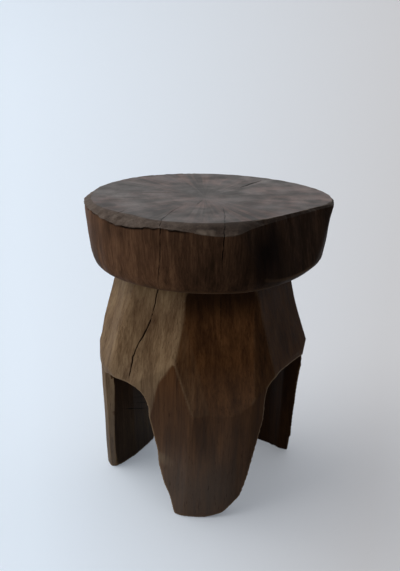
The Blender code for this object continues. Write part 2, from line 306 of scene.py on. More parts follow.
# Hand work on the seat's side: slow waves, ridges and flutes. The top only dips
SEAT_WORK = (
    (0.9 * MM, 70 * MM, 70 * MM, 21.0),
    (0.35 * MM, 9 * MM, 70 * MM, 8.0),
    (0.9 * MM, 24 * MM, 130 * MM, 33.0),
)
TOP_DIP = 0.5 * MM
TOP_GRAIN = (60 * MM, 60 * MM, 15.0)
TOP_FACING = (0.9, 0.99)

# Hand work on the neck, and how near its ends it keeps to its line
NECK_WORK = ((0.8 * MM, 22 * MM, 22 * MM, 30.0),)
NECK_STEADY = 3 * MM
NECK_SEAM = 1 * MM

# Facets at the foot of the front panel's ridges: three places on the base's side, azimuth and height
RIDGE_FLATS = (
    ((-11.6, 0.306), (-15.6, 0.2504), (-4.6, 0.2517)),
    ((35.3, 0.312), (39.2, 0.258), (29.0, 0.2500)),
)

# How a crack is cut: steps along it, how it wavers, the finer faces beside it and its least half width
CRACK_STEP = 0.6 * MM
CRACK_JAG_LENGTH = 9 * MM
CRACK_MARGIN = 6 * MM
CRACK_FINE_FACES = ((1.0, 2.5 * MM), (0.6, 1.0 * MM))
CRACK_UNEVEN_LENGTH = 14 * MM
CRACK_LEAST = 0.25 * MM
CRACK_SHADE_REACH = 1.6

# Drying cracks: azimuth in degrees from the front and height. Each cut is its width, depth, raggedness,
# the shares of its length over which it opens and closes, and a seed
BODY_CRACK = (
    (-32.8, 0.341), (-33.9, 0.3127), (-35.8, 0.2906), (-38.6, 0.2712), (-42.7, 0.2508),
    (-44.7, 0.2312), (-45.0, 0.2089), (-45.1, 0.1960),
)
BODY_CRACK_CUT = (2.8 * MM, 9 * MM, 1.2 * MM, 0.0, 0.1, 2.0)
FRONT_CRACK = ((9.7, 0.341), (9.6, 0.301), (9.8, 0.2805), (9.4, 0.2565))
FRONT_CRACK_CUT = (1.0 * MM, 1.6 * MM, 0.6 * MM, 0.0, 0.5, 7.0)
SEAT_LEFT_CRACK = ((-19.8, 0.4415), (-19.9, 0.4257), (-20.5, 0.3953), (-21.7, 0.373), (-22.2, 0.353))
SEAT_LEFT_CUT = (1.3 * MM, 3 * MM, 0.7 * MM, 0.0, 0.25, 1.0)
SEAT_FRONT_CRACK = ((7.0, 0.4415), (6.9, 0.4305), (6.6, 0.410), (6.8, 0.388))
SEAT_FRONT_CUT = (1.6 * MM, 3 * MM, 0.8 * MM, 0.0, 0.5, 4.0)

# Open checks on the seat's top, as points on the flat
TOP_CRACK = ((0.040, 0.060), (0.060, 0.093), (0.076, 0.120), (0.092, 0.145))
TOP_CRACK_CUT = (3.2 * MM, 7 * MM, 1.5 * MM, 0.4, 0.3, 3.0)
TOP_LEFT_CHECK = ((-0.030, -0.045), (-0.047, -0.086), (-0.0600, -0.1405), (-0.0618, -0.1670))
TOP_LEFT_CUT = (1.2 * MM, 2 * MM, 1.2 * MM, 0.4, 0.0, 5.0)
TOP_FRONT_CHECK = ((0.010, -0.030), (0.0208, -0.066), (0.0230, -0.1137), (0.0220, -0.1700))
TOP_FRONT_CUT = (1.4 * MM, 2 * MM, 1.2 * MM, 0.4, 0.0, 6.0)

# Fine checks on the top, as lines in the photograph
TOP_FINE_CHECKS = (
    ((123.0, 193.2), (150.0, 192.4), (182.0, 192.6)),
    ((111.0, 216.0), (127.0, 209.0)),
    ((196.0, 205.0), (203.5, 199.5)),
)
TOP_FINE_CUT = (1.4 * MM, 1.2 * MM, 0.8 * MM, 0.3, 0.3, 13.0)

# Patterns along the grain: width, length, detail, roughness and distortion
SIDE_PATTERNS = {
    "streaks": (16 * MM, 240 * MM, 4.0, 0.6, 0.4),
    "fibres": (2.4 * MM, 70 * MM, 4.0, 0.65, 0.0),
    "pores": (1.3 * MM, 14 * MM, 2.0, 0.5, 0.0),
    "stains": (55 * MM, 80 * MM, 4.0, 0.5, 0.0),
}
SIDE_STOPS = (0.36, 0.50, 0.64)
FIBRE_SHARE = 0.42
SIDE_PORE_SHARE = 0.35
SIDE_RELIEF = 0.55
# A paler grey painted on the lower parts, growing towards the floor, and kept off the painted shade: its
# strength, the heights where it starts and is full, and its tone
LOW_GREY = 0.60
LOW_GREY_HEIGHT = (240 * MM, 50 * MM)
LOW_GREY_TONE = "5b5856"
# Tone of the painted shade on the inner faces, below the seat and on the far side
PAINTED_SHADE_TONE = "0c0502"
PORE_TONE = "150b07"
# Tone of the painted shade in the cracks and in the tear under the lip
CRACK_SHADE_TONE = "0a0503"

# Near-black patch painted on the right of the seat: azimuth, radius and height of its middle, and its ragged
# reach
DARK_PATCH_PLACE = (31, SEAT_RADIUS, 0.405)
DARK_PATCH_REACH = (88 * MM, 48 * MM)
DARK_PATCH_RAGGED = 60 * MM
DARK_PATCH_TONE = "080302"

# Patterns across the grain: width, length, detail and roughness
END_PATTERNS = {
    "warp": (40 * MM, 40 * MM, 3.0, 0.5),
    "pores": (1.4 * MM, 6 * MM, 2.0, 0.5),
    "mottle": (26 * MM, 26 * MM, 6.0, 0.65),
    "patches": (85 * MM, 85 * MM, 3.0, 0.5),
}

# Patterns that run out from the pith: changes round it, changes in a metre outwards, detail, roughness
SPOKE_PATTERNS = {"rays": (12, 2.5, 5.0, 0.7), "checks": (6, 1.5, 2.0, 0.5)}
PITH_SHIFT = (0.005, 0.0, 0.0)
RING_SCALE = 0.314 / (7 * MM)
RING_SHARE = 0.04
MOTTLE_SHARE = 0.45
END_PORE_SHARE = 0.4
END_RELIEF = 0.5
END_GLOSS = 0.46
END_SHEEN = 0.32
END_GREY = ((0.37, "1f1916"), (0.49, "3a322f"), (0.62, "5a5250"))
END_BROWN = ((0.37, "211512"), (0.49, "402c27"), (0.62, "604840"))
RELIEF_DEPTH = 0.6 * MM

# Light: a broad window at the left, and a room that is pale behind and dim in front
WINDOW_STRENGTH = 2.0
WINDOW_SPREAD = 90
WINDOW_AZIMUTH = -95
WINDOW_RISE = 30
WINDOW_COLOUR = "fff8ee"
ROOM_COLOUR = "e4e4e4"
ROOM_BRIGHT_SIDE = (-0.45, 0.50, 0.74)
ROOM_BRIGHT = 1.1
ROOM_DIM = 0.04
ROOM_TURN = (-0.3, 0.9)
FLOOR_RINGS = ((8.0, 0.0), (14.0, 0.5), (22.0, 1.9), (30.0, 4.4))
# Painted light on the floor: a bright bluish tone towards the window at the left, a greyer one to the right,
# and a painted glow in camera and glossy rays that lifts the floor's shadows
FLOOR_LIT_LEFT = "cfdbe9"
FLOOR_SHADED_RIGHT = "b8babf"
FLOOR_PAINTED_GLOW = 0.29
FLOOR_FAN = (0.0, -1.25, 0.0)
FLOOR_TURN = 0.22
FLOOR_BOUNCE = "a8a29b"

# Camera of the photograph
CAMERA_PLACE = Vector((0.0, -1.25, 0.718))
CAMERA_PITCH = 18.110
CAMERA_YAW = -0.430
CAMERA_ROLL = 1.368
SENSOR = 36.0
IMAGE_WIDTH = 400
IMAGE_HEIGHT = 571
FOCAL_PIXELS = 862.3


def round_log(azimuth, radius, height):
    """A point round the log. Azimuth is in degrees from the front, positive to the right."""
    turn = math.radians(azimuth)
    return Vector((radius * math.sin(turn), -radius * math.cos(turn), height))


def ease(low, high, value):
    """0 at low and 1 at high, with a smooth rise between. low may be the greater of the two."""
    share = min(1.0, max(0.0, (value - low) / (high - low)))
    return share * share * (3 - 2 * share)


def between(pairs, place):
    """The value at place on a line through pairs of place and value."""
    for (start, first), (end, last) in zip(pairs, pairs[1:]):
        if place <= end:
            share = max(0.0, (place - start) / (end - start))
            return first + (last - first) * share
    return pairs[-1][1]


def wander(point, across, along, seed):
    """Smooth noise from -1 to 1, drawn out along the log by along against across."""
    place = Vector((point.x / across, point.y / across, point.z / along))
    return noise.noise(place + Vector((seed, seed * 1.7, seed * 0.3)))


def hand_work(point, rows):
    """How far hand work moves a point: several wanders together."""
    return sum(far * wander(point, *grain) for far, *grain in rows)


def within(span, value):
    """1 inside a span and 0 outside it. A span is where it starts, is full, starts to end and ends."""
    return ease(span[0], span[1], value) * (1 - ease(span[2], span[3], value))


def turned_to(vertex, azimuth):
    """How far a vertex faces an azimuth, from -1 to 1."""
    return vertex.normal.dot(round_log(azimuth, 1.0, 0.0))


def zone_share(vertex, strength=1.0, azimuth=0, facing=None, height=None, side=None):
    """How strongly a vertex lies in a zone, by its facing to an azimuth, its height and its place in x."""
    share = strength
    if facing:
        share *= ease(*facing, turned_to(vertex, azimuth))
    if height:
        share *= ease(*height, vertex.co.z)
    if side:
        share *= ease(*side, vertex.co.x)
    return share


def in_box(point, box):
    """Whether a point lies between the two corners of a box."""
    low, high = box
    if not (low[0] < point.x < high[0] and low[1] < point.y < high[1]):
        return False
    return low[2] < point.z < high[2]


def cut_back(point, place, facing, share=1.0, lean=0.0):
    """Takes a point that stands out past the plane at a place back to it. The plane may lean out."""
    over = (point - place).dot(facing) - lean * point.z
    point -= facing * (max(0.0, over) * share)


def smooth(carved, vertices, rounds):
    """Evens out vertices against their neighbours."""
    for _ in range(rounds):
        bmesh.ops.smooth_vert(
            carved, verts=vertices, factor=0.5, use_axis_x=True, use_axis_y=True, use_axis_z=True
        )


def finder_of(points):
    """A search for the nearest of some points."""
    finder = KDTree(len(points))
    for count, point in enumerate(points):
        finder.insert(point, count)
    finder.balance()
    return finder


def cut_at(shell, **plane):
    """Cuts a bmesh at a plane."""
    everything = shell.verts[:] + shell.edges[:] + shell.faces[:]
    return bmesh.ops.bisect_plane(shell, geom=everything, **plane)


def worked(shell, kind, **settings):
    """A bmesh put through one modifier, with its layers kept."""
    mesh = bpy.data.meshes.new("worked")
    shell.to_mesh(mesh)
    shell.free()
    block = bpy.data.objects.new("worked", mesh)
    bpy.context.scene.collection.objects.link(block)
    modifier = block.modifiers.new(kind, kind)
    for name, value in settings.items():
        setattr(modifier, name, value)
    graph = bpy.context.evaluated_depsgraph_get()
    result = bpy.data.meshes.new_from_object(
        block.evaluated_get(graph), preserve_all_data_layers=True, depsgraph=graph
    )
    bpy.data.objects.remove(block)
    bpy.data.meshes.remove(mesh)
    carved = bmesh.new()
    carved.from_mesh(result)
    bpy.data.meshes.remove(result)
    return carved


def thinned(carved):
    """The same surface with fewer triangles where it is flat, if it has too many for one piece."""
    triangles = sum(len(face.verts) - 2 for face in carved.faces)
    if triangles < PIECE_TRIANGLES:
        return carved
    return worked(carved, "DECIMATE", ratio=PIECE_TRIANGLES / triangles)


def skin(shell, grain):
    """Even quads about grain across, over the closed shells in a bmesh. The shells lie askew meanwhile,
    so that none of their edges runs along the rows of quads and comes out stepped."""
    bmesh.ops.transform(shell, matrix=ASKEW, verts=shell.verts)
    carved = worked(shell, "REMESH", mode="VOXEL", voxel_size=grain)
    bmesh.ops.transform(carved, matrix=ASKEW.inverted(), verts=carved.verts)
    smooth(carved, carved.verts, SOFTEN_ROUNDS)
    sharp = [vertex for vertex, bend in zip(carved.verts, proud(carved)) if abs(bend) > SHARP_BEND]
    smooth(carved, sharp, EDGE_ROUNDS)
    carved.normal_update()
    return carved


def merged(node):
    """A copy of a CAD node's mesh with its loose triangles joined."""
    shell = bmesh.new()
    shell.from_mesh(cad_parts[node].data)
    bmesh.ops.remove_doubles(shell, verts=shell.verts, dist=MERGE)
    return shell


def base_shells():
    """The shoulder and legs in one bmesh. The legs' tops lap into the shoulder, so that one skin fits."""
    whole = bmesh.new()
    for node in ("shoulder",) + LEGS:
        shell = merged(node)
        for vertex in shell.verts:
            if node in LEGS and vertex.co.z > LEG_SEAM - SEAM_LAP:
                vertex.co.z = LEG_SEAM + SEAM_LAP
        part_mesh = bpy.data.meshes.new(node + "_copy")
        shell.to_mesh(part_mesh)
        shell.free()
        whole.from_mesh(part_mesh)
        bpy.data.meshes.remove(part_mesh)
    return whole


def steps_along(points, pitch):
    """Points about pitch apart along a line."""
    fine = []
    for start, end in zip(points, points[1:]):
        count = max(1, round((end - start).length / pitch))
        fine.extend(start.lerp(end, step / count) for step in range(count))
    fine.append(points[-1])
    return fine


def hits(tree, rays):
    """Where rays, each a place and a direction, meet the wood. Those that miss it are left out."""
    found = [tree.ray_cast(place, way)[0] for place, way in rays]
    return [point for point in found if point is not None]


def inward_ray(azimuth, height):
    """A level ray from outside the log towards its middle."""
    return round_log(azimuth, OUTSIDE, height), round_log(azimuth, -1.0, 0.0)


def on_side(tree, places):
    """Points on the carved side for places given as azimuth and height."""
    line = []
    for (start, low), (end, high) in zip(places, places[1:]):
        for step in range(SIDE_LINE_STEPS):
            share = step / SIDE_LINE_STEPS
            line.append((start + (end - start) * share, low + (high - low) * share))
    line.append(places[-1])
    return hits(tree, [inward_ray(azimuth, height) for azimuth, height in line])


def on_top(tree, places):
    """Points on the seat's top and lip, straight down from places given as x and y."""
    line = steps_along([Vector((x, y, SEAT_TOP + OUTSIDE)) for x, y in places], TOP_LINE_PITCH)
    return hits(tree, [(point, Vector((0, 0, -1))) for point in line])


def camera_axes():
    """The photograph camera's right, up and forward directions."""
    pitch, yaw, roll = (math.radians(a) for a in (CAMERA_PITCH, CAMERA_YAW, CAMERA_ROLL))
    flat = math.cos(pitch)
    forward = Vector((math.sin(yaw) * flat, math.cos(yaw) * flat, -math.sin(pitch)))
    level = Vector((math.cos(yaw), -math.sin(yaw), 0.0))
    upright = level.cross(forward)
    right = level * math.cos(roll) + upright * math.sin(roll)
    up = upright * math.cos(roll) - level * math.sin(roll)
    return right, up, forward


def line_of_sight(x, y):
    """The direction in which the camera sees a place in the photograph."""
    right, up, forward = camera_axes()
    across = (x - IMAGE_WIDTH / 2) / FOCAL_PIXELS
    down = (y - IMAGE_HEIGHT / 2) / FOCAL_PIXELS
    return (forward + right * across - up * down).normalized()


def on_sight(tree, places):
    """Points on the wood that are seen at places in the photograph."""
    line = steps_along([Vector((x, y, 0.0)) for x, y in places], SIGHT_LINE_PITCH)
    return hits(tree, [(CAMERA_PLACE, line_of_sight(point.x, point.y)) for point in line])


def sight_plane(line):
    """The downward facing of the plane through the camera and a line in the photograph."""
    facing = line_of_sight(*line[0]).cross(line_of_sight(*line[1])).normalized()
    return -facing if facing.z > 0 else facing


def ragged_line(line, jag, seed):
    """Close points along a line, each a little to one side of it."""
    ragged = []
    for point in steps_along(line, CRACK_STEP):
        place = point / CRACK_JAG_LENGTH
        shift = Vector(
            (
                noise.noise(place + Vector((seed, 0, 0))),
                noise.noise(place + Vector((0, seed, 0))),
                0.4 * noise.noise(place + Vector((0, 0, seed))),
            )
        )
        ragged.append(point + shift * jag)
    return ragged


def split_wood(carved, line, width, depth, jag, fade_start, fade_end, seed):
    """Opens a drying crack along a line on the surface: fine faces, then a narrow cut into the wood."""
    ragged = ragged_line(line, jag, seed)
    finder = finder_of(ragged)
    low = [min(point[axis] for point in ragged) - CRACK_MARGIN for axis in range(3)]
    high = [max(point[axis] for point in ragged) + CRACK_MARGIN for axis in range(3)]
    near = (low, high)
    for share, more in CRACK_FINE_FACES:
        reach = width * share + more
        edges = []
        for edge in carved.edges:
            middle = (edge.verts[0].co + edge.verts[1].co) / 2
            if in_box(middle, near) and finder.find(middle)[2] < reach:
                edges.append(edge)
        bmesh.ops.subdivide_edges(carved, edges=edges, cuts=1, use_grid_fill=True)
    carved.normal_update()
    # The crack's layer takes painted shade, darkest along its middle
    dark = carved.verts.layers.float["crack_shade"]
    moves = []
    for vertex in carved.verts:
        if not in_box(vertex.co, near):
            continue
        _, index, gap = finder.find(vertex.co)
        share = index / (len(ragged) - 1)
        opening = ease(0.0, fade_start, share) if fade_start else 1.0
        opening *= 1 - ease(1 - fade_end, 1.0, share) if fade_end else 1.0
        opening *= 0.75 + 0.45 * noise.noise(ragged[index] / CRACK_UNEVEN_LENGTH)
        half = max(CRACK_LEAST, width / 2 * opening)
        if gap < half * CRACK_SHADE_REACH:
            sink = max(0.0, 1 - gap / half)
            moves.append((vertex, vertex.normal * (-depth * (0.25 + 0.75 * opening) * sink)))
            vertex[dark] = max(vertex[dark], min(1.0, max(0.0, 1.5 - gap / half)))
    for vertex, move in moves:
        vertex.co += move
    carved.normal_update()


def proud(carved):
    """How sharply each vertex stands proud of its neighbours: 1 is an edge rounded to about 4 mm."""
    carved.normal_update()
    carved.verts.index_update()
    places = np.array([vertex.co for vertex in carved.verts])
    normals = np.array([vertex.normal for vertex in carved.verts])
    ends = np.array([[vertex.index for vertex in edge.verts] for edge in carved.edges])
    away = places[ends[:, 1]] - places[ends[:, 0]]
    square = np.maximum((away**2).sum(1), 1e-10)
    size = len(places)
    first = -(away * normals[ends[:, 0]]).sum(1) / square
    second = (away * normals[ends[:, 1]]).sum(1) / square
    count = np.bincount(ends[:, 0], minlength=size) + np.bincount(ends[:, 1], minlength=size)
    bend = np.bincount(ends[:, 0], first, size) + np.bincount(ends[:, 1], second, size)
    bend /= np.maximum(count, 1)
    for _ in range(3):
        near = np.bincount(ends[:, 0], bend[ends[:, 1]], size)
        near += np.bincount(ends[:, 1], bend[ends[:, 0]], size)
        bend = 0.5 * bend + 0.5 * near / np.maximum(count, 1)
    return np.clip(bend / PROUD_BEND, -1.0, 1.0)


def note_wear(carved):
    """Marks the proud edges, where the wood is rubbed pale."""
    worn = carved.verts.layers.float["wear"]
    for vertex, bend in zip(carved.verts, proud(carved)):
        vertex[worn] = bend


def add_marks(carved):
    """Empty layers for the painted shade in open cracks, worn edges, the side painted paler as painted light
    and the painted shade of the inner and far faces.
    """
    for mark in MARKS:
        carved.verts.layers.float.new(mark)


def as_object(name, shell, materials):
    """Turns a bmesh into a smooth object in the scene."""
    for face in shell.faces:
        face.smooth = True
    mesh = bpy.data.meshes.new(name)
    shell.to_mesh(mesh)
    shell.free()
    for material in materials:
        mesh.materials.append(material)
    made = bpy.data.objects.new(name, mesh)
    bpy.context.scene.collection.objects.link(made)
    return made


def finish_piece(name, carved, materials, node):
    """Turns a bmesh into a piece that stands for its CAD node."""
    piece = as_object(name, carved, materials)
    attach(piece, "root")
    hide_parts(node)


def hew(shell, places):
    """Cuts away what stands proud of the plane through three places on the side, and closes the cut."""
    tree = BVHTree.FromBMesh(shell)
    peak, left, right = hits(tree, [inward_ray(azimuth, height) for azimuth, height in places])
    facing = (left - peak).cross(right - peak).normalized()
    if facing.dot(peak * Vector((1, 1, 0))) < 0:
        facing.negate()
    cut = cut_at(shell, plane_co=peak, plane_no=facing, clear_outer=True, dist=MERGE)
    rim = [item for item in cut["geom_cut"] if isinstance(item, bmesh.types.BMEdge)]
    bmesh.ops.edgeloop_fill(shell, edges=rim)


def raise_crease(carved, line, height, reach):
    """Draws the surface up to a crease along a line, falling off evenly to each side."""
    finder = finder_of(line)
    for vertex in carved.verts:
        gap = finder.find(vertex.co)[2]
        if gap < reach:
            vertex.co += vertex.normal * (height * (1 - gap / reach))


def soften_corner(carved, place, reach, rounds):
    """Wears a corner round: all that lies within reach of a place is smoothed."""
    near = [vertex for vertex in carved.verts if (vertex.co - Vector(place)).length < reach]
    smooth(carved, near, rounds)


def swell_sides(vertex):
    """Swells the log at the left of the shoulder and down its right."""
    vertex.co.x -= between(LEFT_SWELL, vertex.co.z) * zone_share(vertex, **LEFT_SWELL_ZONE)
    vertex.co.x += between(RIGHT_SWELL, vertex.co.z) * zone_share(vertex, **RIGHT_SWELL_ZONE)


def shape_left_leg(point):
    """Thickens the left leg's inner face and cuts its round nose."""
    if not in_box(point, LEFT_LEG_BOX):
        return
    proud_of = (point - LEFT_INNER).dot(LEFT_INNER_FACING)
    share = ease(-LEFT_INNER_BLEND, 0.0, proud_of)
    swell = between(LEFT_INNER_SWELL, point.y) - LEFT_INNER_LEAN * point.z
    point += LEFT_INNER_FACING * (swell * share * ease(*LEFT_INNER_END, point.z))
    for place, azimuth, lean in LEFT_NOSE:
        facing = round_log(azimuth, 1.0, 0.0)
        cut_back(point, Vector(place), facing, ease(*LEFT_NOSE_END, point.z), lean)


def swell_bulges(point):
    """Draws the wood out at its small swells."""
    for place, reach, move in BULGES:
        gap = (point - Vector(place)).length
        if gap < reach:
            point += Vector(move) * ease(reach, BULGE_CORE * reach, gap)


def wear_right_corner(point):
    """Holds the right of the shoulder within its reach, with a soft end."""
    limit = between(RIGHT_REACH, point.z)
    over = point.x - limit + REACH_ROUND
    if over > 0:
        point.x = limit - REACH_ROUND + REACH_ROUND * (1 - math.exp(-over / REACH_ROUND))


def shape_base(carved):
    """Takes the base from plain facets to the worn log."""
    tree = BVHTree.FromBMesh(carved)
    raise_crease(carved, on_sight(tree, CREASE), CREASE_HEIGHT, CREASE_REACH)
    corner, foot, far = hits(tree, [(CAMERA_PLACE, line_of_sight(x, y)) for x, y in ARCH_FLAT])
    arch_facing = (far - corner).cross(foot - corner).normalized()
    foot_sides = [sight_plane(line) for line in zip(FOOT_ARC, FOOT_ARC[1:])]
    for vertex in carved.verts:
        swell_sides(vertex)
        point = vertex.co
        shape_left_leg(point)
        if in_box(point, ARCH_FLAT_BOX):
            cut_back(point, corner, arch_facing, ease(*ARCH_FLAT_START, point.z))
        swell_bulges(point)
        if in_box(point, FOOT_ARC_BOX):
            for facing in foot_sides:
                cut_back(point, CAMERA_PLACE, facing)
        wear_right_corner(point)


def roughen_base(carved):
    """The hand work: a wandering surface, adze marks and raised fibres, and the shoulder's run up."""
    for vertex in carved.verts:
        point = vertex.co
        move = hand_work(point, BASE_WORK) * ease(0.0, FOOT_STEADY, point.z)
        level = abs(vertex.normal.z) > LEVEL_FACING and point.z > SHOULDER_TOP - SHOULDER_LEVEL
        if not level:
            point += vertex.normal * move
            point.z += SHOULDER_LIFT * ease(SHOULDER_LIFT_FROM, SHOULDER_TOP, point.z)
        else:
            point.z = SHOULDER_TOP + SHOULDER_LIFT
        point.z = max(0.0, point.z)


def trim_right_edge(carved):
    """Trims the right edge of the shoulder and leg to its line."""
    facing = sight_plane(RIGHT_EDGE)
    for vertex in carved.verts:
        point = vertex.co
        if in_box(point, RIGHT_EDGE_BOX):
            cut_back(point, CAMERA_PLACE, facing, ease(*RIGHT_EDGE_START, point.z))


def lit_pale_share(vertex, outward, strip_sides):
    """How far the base is painted paler and greyer at a vertex as painted light, from 0 to 1."""
    point = vertex.co
    facing = turned_to(vertex, LIT_PALE_AZIMUTH)
    behind = turned_to(vertex, LIT_PALE_AZIMUTH - 90) > 0
    share = ease(*LIT_PALE_UPPER, vertex.normal.z)
    if behind:
        outer = ease(*LIT_PALE_BEHIND_OUTWARD, vertex.normal.dot(outward))
        share = max(share, ease(*LIT_PALE_BEHIND_HEIGHT, point.z) * outer)
    share *= ease(*(LIT_PALE_FACING_BEHIND if behind else LIT_PALE_FACING), facing)
    if in_box(point, LIT_PALE_STRIP_BOX) and facing > LIT_PALE_STRIP_FACING:
        beyond = max((point - CAMERA_PLACE).dot(side) for side in strip_sides)
        share = max(share, ease(*LIT_PALE_STRIP_BLEND, beyond))
    return max(share, zone_share(vertex, **LIT_PALE_NOSE))


def shade_base(carved):
    """Marks the side painted paler where the window's light falls, the painted shade of the inner faces,
    below the seat, on the far side and on the front leg's flat, and the wear of the base.
    """
    layers = carved.verts.layers.float
    lit_pale, inner, worn = layers["lit_pale"], layers["inner"], layers["wear"]
    strip_sides = [-sight_plane(line) for line in LIT_PALE_EDGE]
    for vertex in carved.verts:
        point = vertex.co
        outward = Vector((point.x, point.y, 0.0)).normalized()
        ceiling = CEILING_SHARE * min(0.0, vertex.normal.z)
        inward = ease(*INWARD_FACING, -vertex.normal.dot(outward) - ceiling)
        shaded = inward * max(ease(*SHADED_HEIGHT, point.z), ease(*SHADED_SIDE, point.x))
        grey_foot = inward * zone_share(vertex, **GREY_FOOT)
        vertex[lit_pale] = max(lit_pale_share(vertex, outward, strip_sides), grey_foot)
        vertex[worn] *= 1 - SHADED_UNWORN * shaded
        seat_shadow = zone_share(vertex, **SEAT_SHADOW) * max(0.0, 1 - SEAT_SHADOW_LIT_PALE * vertex[lit_pale])
        front_flat_shade = zone_share(vertex, **FRONT_FLAT_SHADE) * (1 - vertex[lit_pale])
        vertex[inner] = max(shaded, seat_shadow, zone_share(vertex, **FAR_SIDE_SHADE), front_flat_shade)


def carve_base():
    """The shoulder and legs as one skin, before they are parted."""
    whole = base_shells()
    for places in RIDGE_FLATS:
        hew(whole, places)
    carved = skin(whole, BASE_SKIN)
    add_marks(carved)
    shape_base(carved)
    roughen_base(carved)
    for place, reach, rounds in WORN_CORNERS:
        soften_corner(carved, place, reach, rounds)
    trim_right_edge(carved)
    note_wear(carved)
    shade_base(carved)
    tree = BVHTree.FromBMesh(carved)
    split_wood(carved, on_side(tree, BODY_CRACK), *BODY_CRACK_CUT)
    split_wood(carved, on_side(tree, FRONT_CRACK), *FRONT_CRACK_CUT)
    for line in INNER_CUTS:
        split_wood(carved, on_sight(tree, line), *INNER_CUT)
    return carved


def part_base(carved):
    """Parts the base at the leg seam into its four pieces, each closed."""
    cut = dict(plane_co=(0, 0, LEG_SEAM), plane_no=(0, 0, 1), dist=SEAM_CUT)
    pieces = {}
    shoulder = carved.copy()
    cut_at(shoulder, clear_inner=True, **cut)
    pieces["shoulder"] = shoulder
    for leg in LEGS:
        low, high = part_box(leg)
        middle = (low + high) / 2
        piece = carved.copy()
        cut_at(piece, clear_outer=True, **cut)
        others = [(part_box(other)[0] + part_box(other)[1]) / 2 for other in LEGS if other != leg]
        strays = [
            vertex
            for vertex in piece.verts
            if min((vertex.co - other).xy.length for other in others) < (vertex.co - middle).xy.length
        ]
        bmesh.ops.delete(piece, geom=strays, context="VERTS")
        pieces[leg] = piece
    pieces = {name: thinned(piece) for name, piece in pieces.items()}
    for piece in pieces.values():
        rim = [edge for edge in piece.edges if edge.is_boundary]
        bmesh.ops.edgeloop_fill(piece, edges=rim)
        for edge in rim:
            edge.smooth = False
    carved.free()
    return pieces


def around(pairs, azimuth):
    """The value at an azimuth on a smooth closed line through pairs of azimuth and value."""
    value = 0.0
    for turn, share in ROUND_SHARES:
        value += between(pairs, (azimuth - turn + 180) % 360 - 180) * share
    return value


def side_reach(azimuth, height):
    """The seat's radius at an azimuth and height, with the flat hewn on its front right."""
    rise = (height - SEAT_FOOT) / (SEAT_TOP - SEAT_FOOT)
    spread = SIDE_SPREAD * min(1.0, rise * SIDE_SPREAD_RISE)
    reaches = [between(SEAT_SIDE, rise + step * spread) for step in SIDE_STEPS]
    radius = sum(reaches) / len(reaches) + around(SEAT_REACH, azimuth)
    right = ease(*SEAT_RIGHT_FACING, math.cos(math.radians(azimuth - SEAT_RIGHT_AZIMUTH)))
    radius -= right * SEAT_RIGHT_LEAN * ease(*SEAT_RIGHT_LEAN_RISE, rise)
    radius -= right * SEAT_RIGHT_TUCK * ease(*SEAT_RIGHT_TUCK_RISE, rise)
    facing = math.cos(math.radians(azimuth - SEAT_FLAT_AZIMUTH))
    if facing > SEAT_FLAT_FACING:
        limit = (SEAT_FLAT_REACH + SEAT_FLAT_LEAN * (SEAT_TOP - height)) / facing
        over = max(-1.0, min(1.0, (radius - limit) / SEAT_FLAT_ROUND))
        radius = min(radius, limit) - SEAT_FLAT_ROUND * 0.25 * (1 - abs(over)) ** 2
    return radius


def seat_point(zone, share, azimuth):
    """A point of the worn seat, from its zone of the profile and how far along that it lies."""
    place = round_log(azimuth, SEAT_RADIUS, SEAT_TOP)
    edge = around(TOP_EDGE, azimuth) + hand_work(place, EDGE_WORK)
    torn = within(TEAR_SPAN, azimuth)
    rim = SEAT_TOP - around(LIP_EDGE, azimuth) + hand_work(place, LIP_WORK) * (0.3 + 0.7 * torn)
    if zone == BOTTOM:
        return round_log(azimuth, share * SEAT_FOOT_RADIUS, SEAT_FOOT)
    if zone == SIDE:
        height = SEAT_FOOT + share * (rim - TEAR_LEDGE - SEAT_FOOT)
        below = (rim - TEAR_LEDGE - height) / TEAR_HEIGHT
        undercut = TEAR_DEPTH * torn * math.exp(-below)
        return round_log(azimuth, side_reach(azimuth, height) - undercut, height)
    outer = side_reach(azimuth, rim)
    edge = min(edge, outer - LIP_LEAST)
    if zone == LIP:
        height = rim + (SEAT_TOP - rim) * (1 - (1 - share) ** LIP_CROWN)
        return round_log(azimuth, outer + (edge - outer) * share, height)
    return round_log(azimuth, edge * (1 - share), SEAT_TOP)


def turn_seat():
    """The worn seat as rows of faces, spun from a profile line and then drawn to its outline."""
    carved = bmesh.new()
    step = carved.verts.layers.float.new("step")
    places = []
    for zone, rows in SEAT_ROWS.items():
        last = rows - 1 if zone in (SIDE, TOP) else rows
        places.extend((zone, row / last) for row in range(rows))
    line = []
    for count in range(len(places)):
        vertex = carved.verts.new((0.0, -SEAT_RADIUS, count * MM))
        vertex[step] = count
        line.append(vertex)
    edges = [carved.edges.new(pair) for pair in zip(line, line[1:])]
    bmesh.ops.spin(
        carved, geom=line + edges, cent=(0, 0, 0), axis=(0, 0, 1), angle=math.tau, steps=SEAT_STEPS,
        use_merge=True,
    )
    for vertex in carved.verts:
        zone, share = places[round(vertex[step])]
        azimuth = math.degrees(math.atan2(vertex.co.x, -vertex.co.y))
        vertex.co = seat_point(zone, share, azimuth)
        tilt = SEAT_TOP_RISE + SEAT_TOP_TILT * vertex.co.x
        vertex.co.z += tilt * ease(*SEAT_TILT_RISE, (vertex.co.z - SEAT_FOOT) / (SEAT_TOP - SEAT_FOOT))
    first_lip = SEAT_ROWS[BOTTOM] + SEAT_ROWS[SIDE]
    first_top = first_lip + SEAT_ROWS[LIP]
    for face in carved.faces:
        row = min(vertex[step] for vertex in face.verts)
        face.material_index = int(row >= first_lip - 1) + int(row >= first_top)
    bmesh.ops.remove_doubles(carved, verts=carved.verts, dist=MERGE)
    bmesh.ops.recalc_face_normals(carved, faces=carved.faces)
    carved.normal_update()
    return carved


